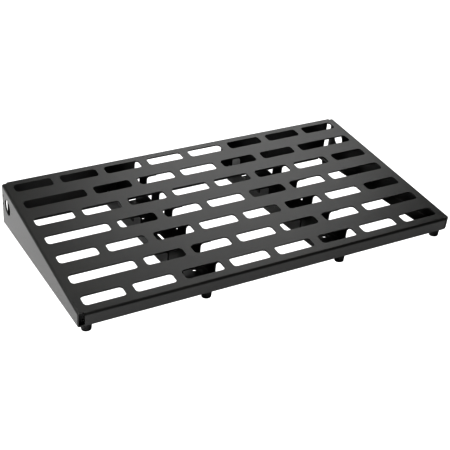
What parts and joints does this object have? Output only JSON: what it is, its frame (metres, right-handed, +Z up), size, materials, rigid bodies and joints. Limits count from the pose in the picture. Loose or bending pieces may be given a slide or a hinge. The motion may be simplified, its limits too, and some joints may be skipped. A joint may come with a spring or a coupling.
{
  "type": "pedalboard",
  "caption": "Sloped sheet-metal pedalboard: slotted deck with folded lip, side panels and windowed rear wall, comb-walled beams below and screwed rubber feet.",
  "frame": {"origin": "on the floor below the middle of the board", "axes": "+X to the player's right along the long side, +Y to the raised rear, +Z up"},
  "size_m": [0.603, 0.3386, 0.0827],
  "materials": {
    "powder_coat": "matte",
    "foot_rubber": "matte",
    "zinc_steel": "satin"
  },
  "bodies": {
    "root": {"deck_shell": "powder_coat", "left_beam": "powder_coat", "right_beam": "powder_coat", "left_beam_studs": "zinc_steel", "right_beam_studs": "zinc_steel", "left_beam_nuts": "zinc_steel", "right_beam_nuts": "zinc_steel", "front_left_corner_foot": "foot_rubber", "front_right_corner_foot": "foot_rubber", "rear_left_corner_foot": "foot_rubber", "rear_right_corner_foot": "foot_rubber", "front_left_beam_foot": "foot_rubber", "front_right_beam_foot": "foot_rubber", "rear_left_beam_foot": "foot_rubber", "rear_right_beam_foot": "foot_rubber", "corner_foot_inserts": "zinc_steel", "corner_foot_screws": "zinc_steel", "corner_foot_nuts": "zinc_steel", "beam_foot_inserts": "zinc_steel", "beam_foot_screws": "zinc_steel", "beam_foot_nuts": "zinc_steel"}
  },
  "joints": []
}
